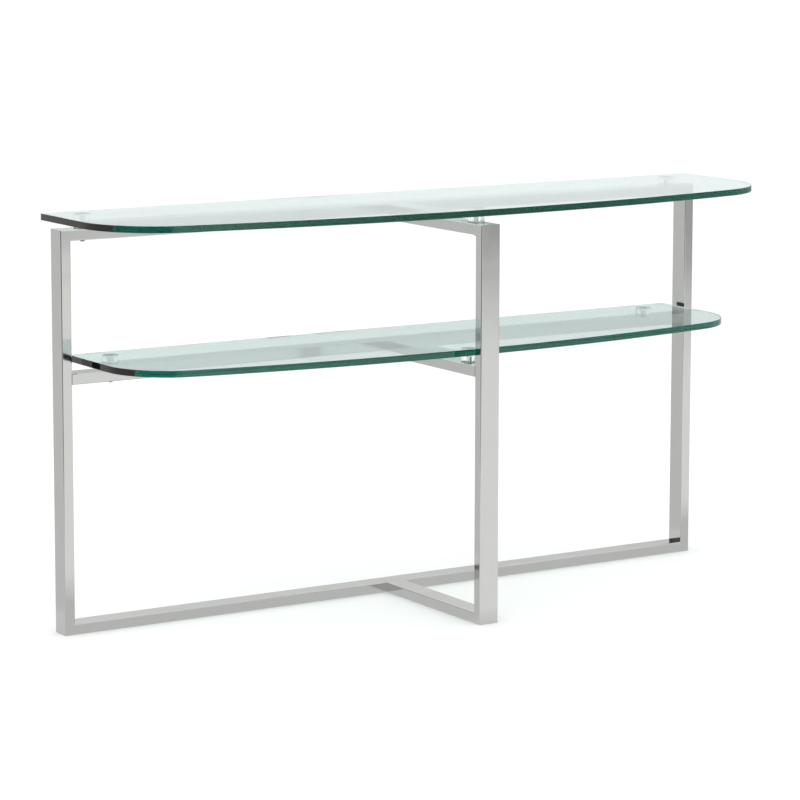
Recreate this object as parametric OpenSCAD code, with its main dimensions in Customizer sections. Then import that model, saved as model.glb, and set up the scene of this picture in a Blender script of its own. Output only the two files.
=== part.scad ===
// Console table: a T-shaped frame of polished flat tube that carries a long
// glass top and a shorter glass shelf on six clear spacers.
//
// Frame of reference: +X to the right, +Y to the back, +Z up. The origin is on
// the floor, at the centre of the table's bounding box.

/* [Overall] */
// Height of the upper face of the glass top
table_h = 760; // [700:1:900]
// Length of the steel frame over its two end legs
frame_l = 1400; // [1100:5:1700]
// Depth of the steel frame, from the front leg to the back
frame_d = 360; // [355:5:450]
// Height of the upper face of the glass shelf
shelf_h = 502; // [350:1:600]

/* [Flat tube] */
// Wide side of the tube
tube_w = 40; // [36:1:60]
// Thin side of the tube
tube_t = 20; // [16:1:25]
// Wall thickness of the tube
tube_wall = 1.5; // [1.2:0.1:1.8]
// Outer corner radius of the tube
tube_r = 2; // [2:0.1:4]

/* [Glass] */
// Thickness of both glass plates
glass_t = 12; // [8:1:15]
// How far the glass stands out behind the back of the frame
glass_back = 10; // [5:1:30]
// How far the top stands out past the legs at each end
top_overhang = 15; // [5:1:40]
// Depth of the top at its middle
top_d = 365; // [340:1:370]
// Radius of the bowed front edge of the top
top_bow_r = 3200; // [2800:50:5000]
// Radius of the front corners of the top
top_corner_r = 150; // [60:5:180]
// Gap between the shelf and the inner face of each end leg
shelf_gap = 18; // [5:1:40]
// Depth of the shelf at its middle
shelf_d = 325; // [300:1:330]
// Radius of the bowed front edge of the shelf
shelf_bow_r = 3100; // [2800:50:5000]
// Radius of the front corners of the shelf
shelf_corner_r = 125; // [60:5:150]
// Radius of the back corners of both plates
back_corner_r = 4; // [1:0.5:10]

/* [Spacers] */
// Diameter of the spacers
spacer_dia = 30; // [24:1:36]
// Clear height between a tube and the glass above it
spacer_h = 15; // [13:0.5:20]
// Distance from a glass end to the centre of the spacer near it
spacer_end_inset = 68; // [50:1:120]
// Distance from the front of the top to the centre of its front spacer
top_front_inset = 43; // [41:1:120]
// Distance from the front of the shelf to the centre of its front spacer
shelf_front_inset = 22; // [20:1:120]

/* [Hidden] */

$fn = 64;
bow_facets = 1440;
corner_facets = 180;
cut_margin = 1;
// Corner arcs reach this far past the bow, so that they cross it cleanly
arc_overlap = 0.01;

// Places along Y
frame_back_y = (frame_d - glass_back) / 2;
rail_front_y = frame_back_y - tube_w;
rail_y = frame_back_y - tube_w / 2;
front_y = frame_back_y - frame_d;
glass_back_y = frame_back_y + glass_back;
arm_l = rail_front_y - front_y;

// Places along Z
frame_h = table_h - glass_t - spacer_h;
mid_h = shelf_h - glass_t - spacer_h;

// Glass plates
top_l = frame_l + 2 * top_overhang;
shelf_l = frame_l - 2 * (tube_t + shelf_gap);

// Spacer stack, from the tube up: rubber ring, then the clear spacer, which is
// bonded to the glass and holds a threaded insert in its lower part
ring_t = 1;
clear_h = spacer_h - ring_t;
insert_dia = 9;
insert_l = 10;

// Plain washer, and M6 button-head screw that ends short of the insert's top
washer_dia = 12.5;
washer_t = 1.6;
screw_dia = 6;
screw_end_gap = 2.6;
screw_l = washer_t + tube_t + ring_t + insert_l - screw_end_gap;
screw_head_dia = 10.5;
screw_head_h = 3.3;
screw_socket_af = 4;
screw_socket_depth = 2;
screw_hole_dia = 6.6;
thread_clearance = 0.05;

// Centres of the three spacers of each plate: left, right, front
function spacer_places(plate_l, plate_d, front_inset) = [
    [-plate_l / 2 + spacer_end_inset, rail_y],
    [plate_l / 2 - spacer_end_inset, rail_y],
    [0, glass_back_y - plate_d + front_inset]
];
top_places = spacer_places(top_l, top_d, top_front_inset);
shelf_places = spacer_places(shelf_l, shelf_d, shelf_front_inset);

steel_colour = [0.74, 0.75, 0.75];
fitting_colour = [0.55, 0.56, 0.57];
rubber_colour = [0.74, 0.76, 0.75];
glass_colour = [0.35, 0.62, 0.54, 0.45];
clear_colour = [0.85, 0.92, 0.9, 0.5];

// ---- Flat tube -----------------------------------------------------------

module rounded_rect(w, h, r) {
    square([w - 2 * r, h], center = true);
    square([w, h - 2 * r], center = true);
    for (x = [-1, 1], y = [-1, 1])
        translate([x * (w / 2 - r), y * (h / 2 - r)]) circle(r);
}

module tube_section() {
    difference() {
        rounded_rect(tube_w, tube_t, tube_r);
        rounded_rect(tube_w - 2 * tube_wall, tube_t - 2 * tube_wall, tube_r - tube_wall);
    }
}

// Removes everything beyond a 45 degree plane that rises from the origin
// towards -X, where a tube of the frame meets the next one in a corner.
module mitre_cut() {
    cut_l = 2 * tube_t;
    rotate([0, -45, 0])
        translate([0, -tube_w / 2 - cut_margin, -cut_l])
            cube([cut_l, tube_w + 2 * cut_margin, 2 * cut_l]);
}

// A tube along +X from the origin. It stands on z = 0, its wide side lies
// along Y, and a mitred end is longest at z = 0.
module flat_tube(length, mitre_start = false, mitre_end = false, holes = []) {
    difference() {
        translate([0, 0, tube_t / 2])
            rotate([90, 0, 90])
                linear_extrude(length) tube_section();
        if (mitre_end)
            translate([length, 0, 0]) mitre_cut();
        if (mitre_start)
            mirror([1, 0, 0]) mitre_cut();
        for (x = holes)
            translate([x, 0, -cut_margin])
                cylinder(d = screw_hole_dia, h = tube_t + 2 * cut_margin);
    }
}

// A mitred leg whose outer thin side faces -X, with its foot at the origin
module leg() {
    rotate([0, -90, 0]) mirror([0, 0, 1])
        flat_tube(frame_h, mitre_start = true, mitre_end = true);
}

// Turns what lies along +X so that it runs from the back rail to the front
module along_arm() {
    translate([0, rail_front_y, 0]) rotate([0, 0, -90]) children();
}

module left_leg() {
    color(steel_colour)
        translate([-frame_l / 2, rail_y, 0]) leg();
}

module right_leg() {
    color(steel_colour)
        mirror([1, 0, 0])
            translate([-frame_l / 2, rail_y, 0]) leg();
}

module front_leg() {
    color(steel_colour)
        translate([0, front_y, 0]) rotate([0, 0, 90]) leg();
}

module base_rail() {
    color(steel_colour)
        translate([-frame_l / 2, rail_y, 0])
            flat_tube(frame_l, mitre_start = true, mitre_end = true);
}

module base_arm() {
    color(steel_colour)
        along_arm() flat_tube(arm_l, mitre_end = true);
}

module top_rail() {
    color(steel_colour)
        translate([-frame_l / 2, rail_y, frame_h]) mirror([0, 0, 1])
            flat_tube(frame_l, mitre_start = true, mitre_end = true,
                      holes = [for (i = [0, 1]) top_places[i][0] + frame_l / 2]);
}

module top_arm() {
    color(steel_colour)
        translate([0, 0, frame_h]) mirror([0, 0, 1])
            along_arm() flat_tube(arm_l, mitre_end = true,
                                  holes = [rail_front_y - top_places[2][1]]);
}

module mid_rail() {
    start_x = -frame_l / 2 + tube_t;
    color(steel_colour)
        translate([start_x, rail_y, mid_h - tube_t])
            flat_tube(frame_l - 2 * tube_t,
                      holes = [for (i = [0, 1]) shelf_places[i][0] - start_x]);
}

module mid_arm() {
    color(steel_colour)
        translate([0, 0, mid_h - tube_t])
            along_arm() flat_tube(arm_l - tube_t, holes = [rail_front_y - shelf_places[2][1]]);
}

// ---- Glass ---------------------------------------------------------------

// Outline of a plate with a straight back, short straight ends and a bowed
// front that runs into the ends through large round corners.
module plate_outline(length, depth, bow_r, corner_r) {
    front = glass_back_y - depth;
    bow_y = front + bow_r;
    corner_x = length / 2 - corner_r;
    corner_y = bow_y - sqrt(pow(bow_r - corner_r, 2) - pow(corner_x, 2)) - arc_overlap;
    // A point outside the bow, beyond where the corner's arc meets it
    reach = (bow_r + corner_r) / (bow_r - corner_r);
    past_bow = [corner_x * reach, bow_y + (corner_y - bow_y) * reach];
    difference() {
        intersection() {
            translate([0, bow_y]) circle(bow_r, $fn = bow_facets);
            translate([-length / 2, front - cut_margin])
                square([length, depth + cut_margin]);
        }
        for (flip = [0, 1]) mirror([flip, 0]) {
            polygon([[corner_x, corner_y], past_bow,
                     [length, past_bow[1]], [length, corner_y]]);
            translate([length / 2 - back_corner_r, glass_back_y - back_corner_r])
                square(back_corner_r + cut_margin);
        }
    }
    for (flip = [0, 1]) mirror([flip, 0]) {
        translate([corner_x, corner_y]) circle(corner_r, $fn = corner_facets);
        translate([length / 2 - back_corner_r, glass_back_y - back_corner_r])
            circle(back_corner_r);
    }
}

module glass_top() {
    color(glass_colour)
        translate([0, 0, table_h - glass_t])
            linear_extrude(glass_t)
                plate_outline(top_l, top_d, top_bow_r, top_corner_r);
}

module glass_shelf() {
    color(glass_colour)
        translate([0, 0, shelf_h - glass_t])
            linear_extrude(glass_t)
                plate_outline(shelf_l, shelf_d, shelf_bow_r, shelf_corner_r);
}

// ---- Spacers and their fittings ------------------------------------------

module ring(outer_dia, inner_dia, h) {
    difference() {
        cylinder(d = outer_dia, h = h);
        translate([0, 0, -cut_margin])
            cylinder(d = inner_dia, h = h + 2 * cut_margin);
    }
}

// Clear spacer that stands on the rubber ring of the tube at height z, with a
// blind bore for its insert
module spacer(place, z) {
    color(clear_colour)
        translate([place[0], place[1], z + ring_t])
            difference() {
                cylinder(d = spacer_dia, h = clear_h);
                translate([0, 0, -cut_margin])
                    cylinder(d = insert_dia, h = insert_l + cut_margin);
            }
}

// Threaded inserts, pressed into the spacers from below
module inserts(places, z) {
    color(fitting_colour)
        for (place = places)
            translate([place[0], place[1], z + ring_t])
                ring(insert_dia, screw_dia + 2 * thread_clearance, insert_l);
}

module rubber_rings(places, z) {
    color(rubber_colour)
        for (place = places)
            translate([place[0], place[1], z]) ring(spacer_dia, screw_hole_dia, ring_t);
}

// Plain washers under the tube whose upper face is at height z
module washers(places, z) {
    color(fitting_colour)
        for (place = places)
            translate([place[0], place[1], z - tube_t - washer_t])
                ring(washer_dia, screw_hole_dia, washer_t);
}

// Screws that rise through the tube into the inserts, heads below
module screws(places, z) {
    head_top = z - tube_t - washer_t;
    color(fitting_colour)
        for (place = places)
            translate([place[0], place[1], head_top]) {
                difference() {
                    button_head();
                    translate([0, 0, -screw_head_h - cut_margin])
                        cylinder(d = screw_socket_af / cos(30),
                                 h = screw_socket_depth + cut_margin, $fn = 6);
                }
                cylinder(d = screw_dia, h = screw_l);
            }
}

// Domed head below z = 0: a slice of a sphere as wide as the head
module button_head() {
    dome_r = (pow(screw_head_dia / 2, 2) + pow(screw_head_h, 2)) / (2 * screw_head_h);
    intersection() {
        translate([0, 0, dome_r - screw_head_h]) sphere(dome_r);
        translate([0, 0, -screw_head_h])
            cylinder(d = screw_head_dia + 2 * cut_margin, h = screw_head_h);
    }
}

module top_spacer_left() { spacer(top_places[0], frame_h); }
module top_spacer_right() { spacer(top_places[1], frame_h); }
module top_spacer_front() { spacer(top_places[2], frame_h); }
module shelf_spacer_left() { spacer(shelf_places[0], mid_h); }
module shelf_spacer_right() { spacer(shelf_places[1], mid_h); }
module shelf_spacer_front() { spacer(shelf_places[2], mid_h); }
module top_inserts() { inserts(top_places, frame_h); }
module shelf_inserts() { inserts(shelf_places, mid_h); }
module top_rubber_rings() { rubber_rings(top_places, frame_h); }
module shelf_rubber_rings() { rubber_rings(shelf_places, mid_h); }
module top_washers() { washers(top_places, frame_h); }
module shelf_washers() { washers(shelf_places, mid_h); }
module top_screws() { screws(top_places, frame_h); }
module shelf_screws() { screws(shelf_places, mid_h); }

left_leg();
right_leg();
front_leg();
base_rail();
base_arm();
mid_rail();
mid_arm();
top_rail();
top_arm();
glass_top();
glass_shelf();
top_spacer_left();
top_spacer_right();
top_spacer_front();
shelf_spacer_left();
shelf_spacer_right();
shelf_spacer_front();
top_inserts();
shelf_inserts();
top_rubber_rings();
shelf_rubber_rings();
top_washers();
shelf_washers();
top_screws();
shelf_screws();
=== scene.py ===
"""Looks for a slim console table: polished flat-tube frame, green-edged glass, clear spacers.

Lengths are in metres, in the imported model's frame: +X to the right, +Y to the back, +Z up.
"""

import math

import bmesh
import bpy
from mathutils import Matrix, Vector


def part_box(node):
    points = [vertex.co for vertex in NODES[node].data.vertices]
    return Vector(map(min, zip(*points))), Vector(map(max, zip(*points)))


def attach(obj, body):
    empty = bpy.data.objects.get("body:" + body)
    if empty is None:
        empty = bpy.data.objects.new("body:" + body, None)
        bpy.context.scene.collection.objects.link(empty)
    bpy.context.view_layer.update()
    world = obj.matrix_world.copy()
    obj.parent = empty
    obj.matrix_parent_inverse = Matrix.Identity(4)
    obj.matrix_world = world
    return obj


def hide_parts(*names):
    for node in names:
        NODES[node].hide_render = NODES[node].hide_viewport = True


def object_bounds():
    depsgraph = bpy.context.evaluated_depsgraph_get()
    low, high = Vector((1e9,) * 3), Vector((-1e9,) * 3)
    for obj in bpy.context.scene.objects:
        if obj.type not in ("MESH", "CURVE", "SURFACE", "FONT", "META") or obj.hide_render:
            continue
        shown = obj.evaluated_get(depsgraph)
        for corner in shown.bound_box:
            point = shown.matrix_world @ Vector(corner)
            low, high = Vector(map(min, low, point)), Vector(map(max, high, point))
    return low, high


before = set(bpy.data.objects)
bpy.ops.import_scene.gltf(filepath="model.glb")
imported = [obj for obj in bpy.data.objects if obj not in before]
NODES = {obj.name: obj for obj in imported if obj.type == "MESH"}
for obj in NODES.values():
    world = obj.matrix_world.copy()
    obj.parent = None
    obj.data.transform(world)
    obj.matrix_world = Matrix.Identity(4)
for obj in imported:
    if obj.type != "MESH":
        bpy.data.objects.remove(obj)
cad_low, cad_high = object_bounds()

# Glass: what the frame's boxes don't say about the plates
GLASS_PLATES = {
    "glass_top": {"bow_r": 3.2, "corner_r": 0.15},
    "glass_shelf": {"bow_r": 3.1, "corner_r": 0.125},
}
BACK_CORNER_R = 0.004
BACK_CORNER_STEPS = 8
ARRIS = 0.0006
OUTLINE_STEP = 0.006
CORNER_STEPS = 40

# Clear spacers
SPACER_CHAMFER = 0.0005
SPACER_SIDES = 96
INSERT_DIA = 0.009
BORE_PLAY = 0.0001
# A bonded spacer reaches this far into the glass, so that light meets no air gap
BOND_DEPTH = 0.00003

# Colours. A pair of tones is what noise varies a surface between.
WHITE = (1.0, 1.0, 1.0, 1.0)
POLISHED_TONES = ((0.60, 0.605, 0.585, 1.0), (0.65, 0.655, 0.635, 1.0))
# The screws and washers are much darker than the frame's polished steel
SCREW_TONES = ((0.17, 0.17, 0.168, 1.0), (0.30, 0.30, 0.298, 1.0))
INSERT_TONES = ((0.50, 0.50, 0.495, 1.0), (0.68, 0.68, 0.675, 1.0))
RUBBER_TONES = ((0.86, 0.88, 0.87, 1.0), (0.94, 0.96, 0.95, 1.0))
RUBBER_IOR = 1.41
RUBBER_CLEARNESS = 0.8
FLOOR_TONE = (0.86, 0.86, 0.86, 1.0)
FLOOR_ROUGHNESS = 0.9

# Clear solids: absorption has a colour and a density per metre. Lamps meet only the tint.
GREEN_GLASS = {
    "ior": 1.52,
    "absorption": (0.08, 0.59, 0.525, 1.0),
    "density": 17.0,
    "tint": (0.975, 0.98, 0.972, 1.0),
}
CLEAR_ACRYLIC = {
    "ior": 1.49,
    "absorption": (0.80, 0.93, 0.90, 1.0),
    "density": 8.0,
    "tint": (0.99, 0.99, 0.985, 1.0),
}

# Sockets of a Mix node in its colour mode, where several share a name
MIX_FACTOR, MIX_FIRST, MIX_SECOND, MIX_RESULT = 0, 6, 7, 2

# Camera
CAMERA_PLACE = (-3.2531, -5.0146, 1.3803)
CAMERA_YAW = 31.65
CAMERA_PITCH = -8.022
CAMERA_LENS = 146.83
CAMERA_SENSOR = 36.0
CAMERA_SHIFT = (0.05, -0.10)

# Stage. It looks plain and pale to the camera. Only rays that a polished surface has sent back
# meet the floor's painted glow with its painted shade, and the walls and the curtain below.
FLOOR_R = 60.0
FLOOR_SIDES = 64
# A fade is (start, end) of a measure, and the value at each of them. On the floor, the measure is
# in metres. The painted glow's fades are greys: RIM towards the front right and BACK behind the
# table, as painted light, and NEAR by the distance from the X axis, to the front or to the back,
# as painted shade near the table.
PAINTED_GLOW_RIM_SLANT = -0.3
PAINTED_GLOW_RIM = ((2.8, 5.1), (1.0, 0.50))
PAINTED_GLOW_BACK = ((0.15, 0.35), (1.0, 0.72))
PAINTED_SHADE_NEAR = ((0.12, 0.30), (0.71, 1.0))
# A painted dark patch, painted shade in the floor's glow, lies at the front left, as fades of how
# dark it is
PAINTED_PATCH_X = ((-1.9, -0.9), (0.92, 0.0))
PAINTED_PATCH_Y = ((-0.7, -0.2), (1.0, 0.0))
# The studio's walls and ceiling, as (sine of the height above the horizon, grey)
STUDIO_WALLS = (
    (0.0, 0.85), (0.10, 0.96), (0.14, 0.57), (0.20, 0.69), (0.27, 0.92), (1.0, 1.0),
)
# A dark curtain hangs at the back left, as fades of how dark it is, by the direction's X, Y and Z
CURTAIN_X = ((-0.50, -0.30), (0.90, 0.0))
CURTAIN_Y = ((0.30, 0.60), (0.0, 1.0))
CURTAIN_Z = ((0.13, 0.16), (0.0, 1.0))
WORLD_LIGHT = 1.2
KEY_PLACE = (-1.0, -2.0, 5.0)
KEY_TARGET = (0.0, 0.5, 0.0)
KEY_SIZE = (5.0, 5.0)
KEY_POWER = 60.0

# Light paths: glass over glass needs many steps
MAX_BOUNCES = 20
GLOSSY_BOUNCES = 14
TRANSMISSION_BOUNCES = 18


# ---- Node helpers --------------------------------------------------------

def new_material(name):
    material = bpy.data.materials.new(name)
    material.use_nodes = True
    material.node_tree.nodes.clear()
    return material, material.node_tree


def add(tree, kind, **settings):
    """A node of that kind. settings are its properties, and inputs={socket: value or output}."""
    node = tree.nodes.new(kind)
    for socket, value in settings.pop("inputs", {}).items():
        if isinstance(value, bpy.types.NodeSocket):
            tree.links.new(value, node.inputs[socket])
        else:
            node.inputs[socket].default_value = value
    for key, value in settings.items():
        setattr(node, key, value)
    return node


def stretched_coords(tree, scale):
    """Object coordinates, scaled along each axis."""
    coords = add(tree, "ShaderNodeTexCoord")
    return add(
        tree, "ShaderNodeMapping",
        inputs={"Vector": coords.outputs["Object"], "Scale": scale},
    ).outputs["Vector"]


def noise(tree, per_metre, detail=2.0, roughness=0.5, size=(1.0, 1.0, 1.0)):
    """Noise with about that many features per metre. size below 1 draws it out along that axis."""
    return add(
        tree, "ShaderNodeTexNoise",
        inputs={
            "Vector": stretched_coords(tree, size),
            "Scale": per_metre,
            "Detail": detail,
            "Roughness": roughness,
        },
    ).outputs["Fac"]


def spread(tree, value, low, high, start=0.0, end=1.0):
    """value, taken from start..end to low..high and held there."""
    return add(
        tree, "ShaderNodeMapRange",
        inputs={
            "Value": value,
            "From Min": start,
            "From Max": end,
            "To Min": low,
            "To Max": high,
        },
    ).outputs["Result"]


def mixed_colour(tree, factor, tones):
    """The first tone where factor is 0, the second where it is 1."""
    node = add(tree, "ShaderNodeMix", data_type="RGBA")
    tree.links.new(factor, node.inputs[MIX_FACTOR])
    node.inputs[MIX_FIRST].default_value, node.inputs[MIX_SECOND].default_value = tones
    return node.outputs[MIX_RESULT]


def combined(tree, operation, first, second):
    return add(
        tree, "ShaderNodeMath", operation=operation, inputs={0: first, 1: second}
    ).outputs["Value"]


def bump(tree, height, distance, strength=1.0, normal=None):
    inputs = {"Height": height, "Distance": distance, "Strength": strength}
    if normal is not None:
        inputs["Normal"] = normal
    return add(tree, "ShaderNodeBump", inputs=inputs).outputs["Normal"]


def product(tree, first, *others):
    for other in others:
        first = combined(tree, "MULTIPLY", first, other)
    return first


def either(tree, factor, first, second):
    """The first shader where factor is 0, the second where it is 1."""
    return add(
        tree, "ShaderNodeMixShader", inputs={0: factor, 1: first, 2: second}
    ).outputs["Shader"]


def surface(tree, shader):
    add(tree, "ShaderNodeOutputMaterial", inputs={"Surface": shader})


# ---- Materials -----------------------------------------------------------

def polished_steel(name, along):
    """Mirror-polished stainless, with faint polishing lines that run along that axis."""
    material, tree = new_material(name)
    lines_size = tuple(0.02 if axis == along else 1.0 for axis in "XYZ")
    lines = noise(tree, per_metre=900.0, detail=3.0, roughness=0.6, size=lines_size)
    waves = noise(tree, per_metre=14.0, detail=1.0)
    smudges = noise(tree, per_metre=22.0, detail=4.0, roughness=0.6)
    roughness = combined(
        tree, "ADD",
        spread(tree, smudges, low=0.04, high=0.12, start=0.35, end=0.75),
        spread(tree, lines, low=0.0, high=0.04, start=0.3, end=0.7),
    )
    normal = bump(tree, waves, distance=0.0006, strength=0.5)
    normal = bump(tree, lines, distance=0.000012, strength=0.5, normal=normal)
    shader = add(
        tree, "ShaderNodeBsdfPrincipled",
        inputs={
            "Base Color": mixed_colour(tree, smudges, POLISHED_TONES),
            "Metallic": 1.0,
            "Roughness": roughness,
            "Normal": normal,
        },
    )
    surface(tree, shader.outputs["BSDF"])
    return material


def turned_steel(name, tones):
    """Plain stainless of the small fittings, with fine turning marks between those two tones."""
    material, tree = new_material(name)
    marks = noise(tree, per_metre=1500.0, detail=3.0, size=(1.0, 1.0, 0.1))
    shader = add(
        tree, "ShaderNodeBsdfPrincipled",
        inputs={
            "Base Color": mixed_colour(tree, marks, tones),
            "Metallic": 1.0,
            "Roughness": spread(tree, marks, low=0.22, high=0.4, start=0.3, end=0.7),
            "Normal": bump(tree, marks, distance=0.00003),
        },
    )
    surface(tree, shader.outputs["BSDF"])
    return material


def clear_rubber():
    """Milky clear silicone, a little frosted."""
    material, tree = new_material("clear_rubber")
    grain = noise(tree, per_metre=2500.0, detail=3.0)
    shader = add(
        tree, "ShaderNodeBsdfPrincipled",
        inputs={
            "Base Color": mixed_colour(tree, grain, RUBBER_TONES),
            "Roughness": spread(tree, grain, low=0.3, high=0.5, start=0.3, end=0.7),
            "IOR": RUBBER_IOR,
            "Transmission Weight": RUBBER_CLEARNESS,
            "Normal": bump(tree, grain, distance=0.00004),
        },
    )
    surface(tree, shader.outputs["BSDF"])
    return material


def clear_solid(name, bumps, ior, absorption, density, tint):
    """A clear material that soaks up light on its way through. Lamps shine through it."""
    material, tree = new_material(name)
    film = noise(tree, per_metre=9.0, detail=4.0, roughness=0.6)
    shader = add(
        tree, "ShaderNodeBsdfPrincipled",
        inputs={
            "Base Color": WHITE,
            "Transmission Weight": 1.0,
            "IOR": ior,
            "Roughness": spread(tree, film, low=0.0, high=0.02, start=0.4, end=0.8),
            "Normal": bumps(tree),
        },
    )
    lamps = add(tree, "ShaderNodeBsdfTransparent", inputs={"Color": tint})
    path = add(tree, "ShaderNodeLightPath")
    lamp_ray = combined(
        tree, "MAXIMUM", path.outputs["Is Shadow Ray"], path.outputs["Is Diffuse Ray"]
    )
    both = either(tree, lamp_ray, shader.outputs["BSDF"], lamps.outputs["BSDF"])
    soaked = add(
        tree, "ShaderNodeVolumeAbsorption", inputs={"Color": absorption, "Density": density}
    )
    add(
        tree, "ShaderNodeOutputMaterial",
        inputs={"Surface": both, "Volume": soaked.outputs["Volume"]},
    )
    return material


def float_waves(tree):
    """The slow waves in a plate of float glass."""
    waves = noise(tree, per_metre=5.0, detail=1.0)
    return bump(tree, waves, distance=0.0004, strength=0.3)


def turned_rings(tree):
    """The rings that a lathe leaves round an upright puck."""
    rings = noise(tree, per_metre=900.0, size=(0.05, 0.05, 1.0))
    return bump(tree, rings, distance=0.00002, strength=0.4)


def mirror_ray(tree):
    """1 for a ray that a polished surface has sent back, else 0."""
    path = add(tree, "ShaderNodeLightPath")
    return product(tree, path.outputs["Is Glossy Ray"], path.outputs["Is Reflection Ray"])


def fade(tree, measure, limits):
    """The value that a fade has at that measure."""
    (start, end), (low, high) = limits
    return spread(tree, measure, low, high, start, end)


def painted_floor_glow(tree):
    """How bright a mirror sees the floor's painted glow: painted light that fades towards the
    front right and behind the table, with painted shade near the table and a painted dark patch at
    its front left.
    """
    position = add(tree, "ShaderNodeTexCoord").outputs["Object"]
    place = add(tree, "ShaderNodeSeparateXYZ", inputs={0: position})
    x, y = place.outputs["X"], place.outputs["Y"]
    reach = combined(tree, "ADD", x, combined(tree, "MULTIPLY", y, PAINTED_GLOW_RIM_SLANT))
    depth = add(tree, "ShaderNodeMath", operation="ABSOLUTE", inputs={0: y}).outputs["Value"]
    # Painted shade: a dark patch in the glow at the front left
    painted_patch = product(tree, fade(tree, x, PAINTED_PATCH_X), fade(tree, y, PAINTED_PATCH_Y))
    return product(
        tree,
        fade(tree, reach, PAINTED_GLOW_RIM),
        fade(tree, y, PAINTED_GLOW_BACK),
        fade(tree, depth, PAINTED_SHADE_NEAR),
        combined(tree, "SUBTRACT", 1.0, painted_patch),
    )


def pale_floor():
    """Plain pale floor. Mirrors see instead its painted glow, with painted shade near the table
    and at the front left.
    """
    material, tree = new_material("pale_floor")
    lit = add(
        tree, "ShaderNodeBsdfPrincipled",
        inputs={"Base Color": FLOOR_TONE, "Roughness": FLOOR_ROUGHNESS},
    )
    # For mirror rays the floor glows: painted light, with painted shade, not a lamp
    seen = add(tree, "ShaderNodeEmission", inputs={"Strength": painted_floor_glow(tree)})
    surface(tree, either(tree, mirror_ray(tree), lit.outputs["BSDF"], seen.outputs["Emission"]))
    return material


# ---- Meshes --------------------------------------------------------------

def new_piece(name, bm, material, node):
    """Turns bm into a piece that stands for that CAD node."""
    mesh = bpy.data.meshes.new(name)
    bm.normal_update()
    bm.to_mesh(mesh)
    bm.free()
    mesh.materials.append(material)
    piece = bpy.data.objects.new(name, mesh)
    bpy.context.scene.collection.objects.link(piece)
    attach(piece, "root")
    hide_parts(node)
    return piece


def arc(centre, radius, start, end, steps):
    """(point, outward direction) at even steps from start to end, in radians."""
    found = []
    for i in range(steps + 1):
        angle = start + (end - start) * i / steps
        out = Vector((math.cos(angle), math.sin(angle)))
        found.append((Vector(centre) + out * radius, out))
    return found


def plate_outline(low, high, bow_r, corner_r):
    """Outline of a plate, counter-clockwise: straight back, round corners, bowed front."""
    bow_centre = Vector((0.0, low.y + bow_r))
    corner_x = high.x - corner_r
    drop = math.sqrt((bow_r - corner_r) ** 2 - corner_x ** 2)
    corner = Vector((corner_x, bow_centre.y - drop))
    bow_end = math.atan2(corner.y - bow_centre.y, corner.x)
    bow_start = -math.pi - bow_end
    bow_steps = round((bow_end - bow_start) * bow_r / OUTLINE_STEP)
    back = (high.x - BACK_CORNER_R, high.y - BACK_CORNER_R)
    outline = arc(bow_centre, bow_r, bow_start, bow_end, bow_steps)
    outline += arc(corner, corner_r, bow_end, 0.0, CORNER_STEPS)[1:]
    outline += arc(back, BACK_CORNER_R, 0.0, math.pi / 2, BACK_CORNER_STEPS)
    outline += arc(
        (-back[0], back[1]), BACK_CORNER_R, math.pi / 2, math.pi, BACK_CORNER_STEPS
    )
    outline += arc((-corner.x, corner.y), corner_r, -math.pi, bow_start, CORNER_STEPS)[:-1]
    return outline


def stacked_rings(bm, rings):
    """Joins closed rings of points, from the first to the last, with bands of faces."""
    made = [[bm.verts.new(point) for point in ring] for ring in rings]
    for below, above in zip(made, made[1:]):
        for i in range(len(below)):
            j = (i + 1) % len(below)
            face = bm.faces.new((below[i], below[j], above[j], above[i]))
            face.smooth = True
    return made


def sharpen(ring):
    """Marks the edges along a closed ring of vertices as sharp."""
    for i, vert in enumerate(ring):
        for edge in vert.link_edges:
            if edge.other_vert(vert) == ring[(i + 1) % len(ring)]:
                edge.smooth = False


def close_ends(bm, rings):
    """Caps the first and the last ring, and keeps every ring's edges sharp."""
    bm.faces.new(reversed(rings[0]))
    bm.faces.new(rings[-1])
    for ring in rings:
        sharpen(ring)


def glass_plate(node, material):
    """A plate with ground arrises, in the box of its CAD node."""
    low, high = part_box(node)
    outline = plate_outline(low, high, **GLASS_PLATES[node])
    profile = [
        (ARRIS, low.z), (0.0, low.z + ARRIS), (0.0, high.z - ARRIS), (ARRIS, high.z)
    ]
    bm = bmesh.new()
    rings = stacked_rings(bm, [
        [(*(point - out * inset), z) for point, out in outline] for inset, z in profile
    ])
    close_ends(bm, rings)
    return new_piece(node + "_plate", bm, material, node)


def clear_spacer(node, material):
    """A turned puck with chamfered rims and the blind bore of its CAD node."""
    low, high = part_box(node)
    centre = (low + high) / 2
    radius = (high.x - low.x) / 2
    level = node.split("_")[0]
    insert_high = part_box(level + "_inserts")[1]
    bore = INSERT_DIA / 2 + BORE_PLAY
    cut = SPACER_CHAMFER
    profile = [
        (bore, insert_high.z), (bore, low.z), (radius - cut, low.z), (radius, low.z + cut),
        (radius, high.z - cut), (radius - cut, high.z), (radius - cut, high.z + BOND_DEPTH),
    ]
    bm = bmesh.new()
    rings = stacked_rings(bm, [
        [
            (
                centre.x + r * math.cos(2 * math.pi * i / SPACER_SIDES),
                centre.y + r * math.sin(2 * math.pi * i / SPACER_SIDES),
                z,
            )
            for i in range(SPACER_SIDES)
        ]
        for r, z in profile
    ])
    close_ends(bm, rings)
    return new_piece(node + "_turned", bm, material, node)


def dress(nodes, material):
    """Gives carried-over CAD nodes their material."""
    for name in nodes:
        mesh = NODES[name].data
        mesh.materials.clear()
        mesh.materials.append(material)


# ---- Stage ---------------------------------------------------------------

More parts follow.
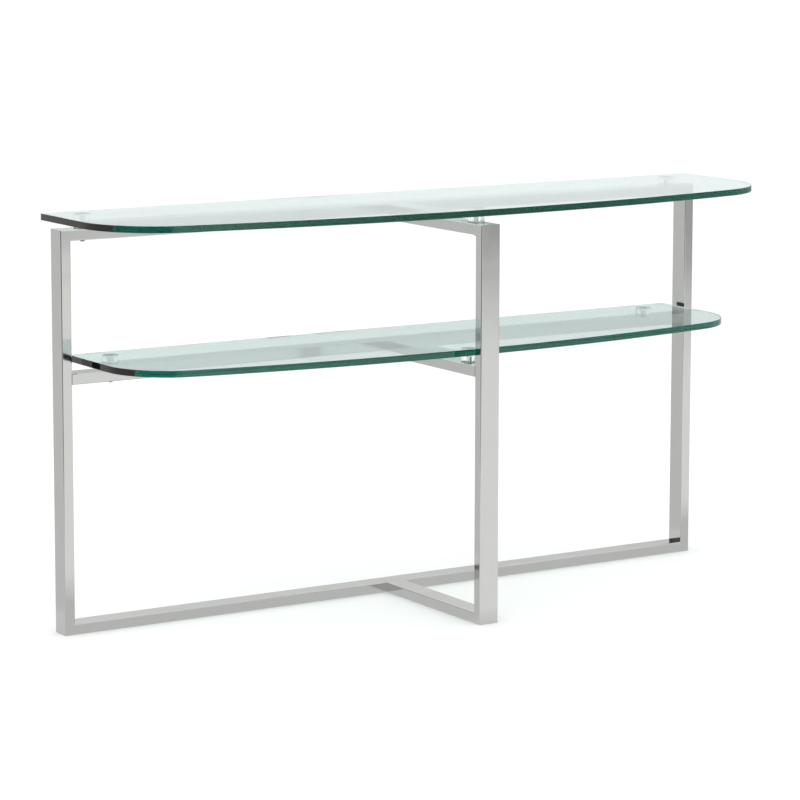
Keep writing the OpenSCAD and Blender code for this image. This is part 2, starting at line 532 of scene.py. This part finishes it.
def add_floor():
    bm = bmesh.new()
    bmesh.ops.create_circle(bm, cap_ends=True, radius=FLOOR_R, segments=FLOOR_SIDES)
    mesh = bpy.data.meshes.new("floor")
    bm.to_mesh(mesh)
    bm.free()
    mesh.materials.append(pale_floor())
    floor = bpy.data.objects.new("floor", mesh)
    floor.location.z = cad_low.z
    bpy.context.scene.collection.objects.link(floor)


def add_area_light(name, place, target, size, power):
    data = bpy.data.lights.new(name, "AREA")
    data.shape = "RECTANGLE"
    data.size, data.size_y = size
    data.energy = power
    light = bpy.data.objects.new(name, data)
    light.location = place
    direction = Vector(target) - Vector(place)
    light.rotation_euler = direction.to_track_quat("-Z", "Y").to_euler()
    bpy.context.scene.collection.objects.link(light)


def add_world():
    """A soft white studio. Mirrors see its grey walls and a dark curtain instead."""
    world = bpy.data.worlds.new("studio")
    bpy.context.scene.world = world
    world.use_nodes = True
    tree = world.node_tree
    tree.nodes.clear()
    coords = add(tree, "ShaderNodeTexCoord")
    direction = add(tree, "ShaderNodeSeparateXYZ", inputs={0: coords.outputs["Generated"]})
    walls = add(tree, "ShaderNodeValToRGB", inputs={0: direction.outputs["Z"]})
    ramp = walls.color_ramp.elements
    ramp[0].position, ramp[1].position = STUDIO_WALLS[0][0], STUDIO_WALLS[-1][0]
    for height, grey in STUDIO_WALLS[1:-1]:
        ramp.new(height)
    for element, (height, grey) in zip(ramp, STUDIO_WALLS):
        element.color = (grey, grey, grey, 1.0)
    curtain = product(
        tree,
        fade(tree, direction.outputs["X"], CURTAIN_X),
        fade(tree, direction.outputs["Y"], CURTAIN_Y),
        fade(tree, direction.outputs["Z"], CURTAIN_Z),
    )
    seen = add(
        tree, "ShaderNodeBackground",
        inputs={
            "Color": walls.outputs["Color"],
            "Strength": combined(tree, "SUBTRACT", 1.0, curtain),
        },
    )
    lit = add(
        tree, "ShaderNodeBackground",
        inputs={"Color": WHITE, "Strength": WORLD_LIGHT},
    )
    both = either(
        tree, mirror_ray(tree), lit.outputs["Background"], seen.outputs["Background"]
    )
    add(tree, "ShaderNodeOutputWorld", inputs={"Surface": both})


def add_camera():
    data = bpy.data.cameras.new("camera")
    data.lens = CAMERA_LENS
    data.sensor_width = CAMERA_SENSOR
    data.shift_x, data.shift_y = CAMERA_SHIFT
    camera = bpy.data.objects.new("camera", data)
    camera.location = CAMERA_PLACE
    camera.rotation_euler = (
        math.radians(90.0 + CAMERA_PITCH), 0.0, math.radians(-CAMERA_YAW)
    )
    bpy.context.scene.collection.objects.link(camera)
    bpy.context.scene.camera = camera


# ---- Table ---------------------------------------------------------------

dress(["left_leg", "right_leg", "front_leg"], polished_steel("polished_steel_legs", "Z"))
dress(["base_rail", "mid_rail", "top_rail"], polished_steel("polished_steel_rails", "X"))
dress(["base_arm", "mid_arm", "top_arm"], polished_steel("polished_steel_arms", "Y"))
dress(
    ["top_washers", "shelf_washers", "top_screws", "shelf_screws"],
    turned_steel("screw_steel", SCREW_TONES),
)
dress(["top_inserts", "shelf_inserts"], turned_steel("insert_steel", INSERT_TONES))
dress(["top_rubber_rings", "shelf_rubber_rings"], clear_rubber())

glass = clear_solid("green_glass", float_waves, **GREEN_GLASS)
for plate in GLASS_PLATES:
    glass_plate(plate, glass)

acrylic = clear_solid("clear_acrylic", turned_rings, **CLEAR_ACRYLIC)
for level in ("top", "shelf"):
    for side in ("left", "right", "front"):
        clear_spacer(f"{level}_spacer_{side}", acrylic)

add_floor()
add_world()
add_area_light("key", KEY_PLACE, KEY_TARGET, KEY_SIZE, KEY_POWER)
add_camera()
scene = bpy.context.scene
scene.view_settings.view_transform = "Standard"
scene.cycles.max_bounces = MAX_BOUNCES
scene.cycles.glossy_bounces = GLOSSY_BOUNCES
scene.cycles.transmission_bounces = TRANSMISSION_BOUNCES
